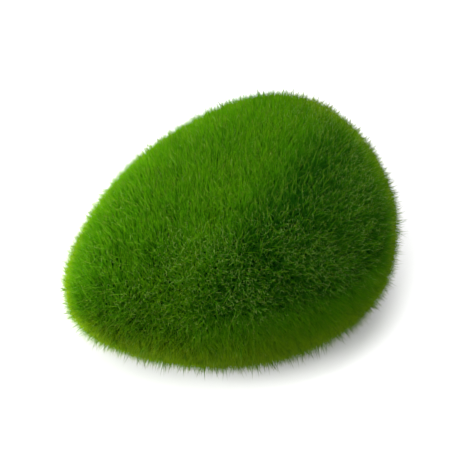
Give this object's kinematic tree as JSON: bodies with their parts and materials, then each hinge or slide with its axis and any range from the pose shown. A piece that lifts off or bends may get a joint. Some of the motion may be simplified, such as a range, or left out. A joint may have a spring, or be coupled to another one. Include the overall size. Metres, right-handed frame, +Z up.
{
  "type": "marimo moss ball",
  "caption": "Marimo moss ball: a flattened, pebble-shaped ball of bright green moss with a dense velvety nap, resting on a small flat spot.",
  "frame": {"origin": "middle of the bounding box at its base, on the surface that the ball rests on", "axes": "+X along the ball's length towards its blunt end, +Y across it, +Z up through the crown"},
  "size_m": [0.092, 0.072, 0.045],
  "materials": {
    "moss": "soft dense nap of fine green filaments"
  },
  "bodies": {
    "root": {"moss_ball": "moss"}
  },
  "joints": []
}
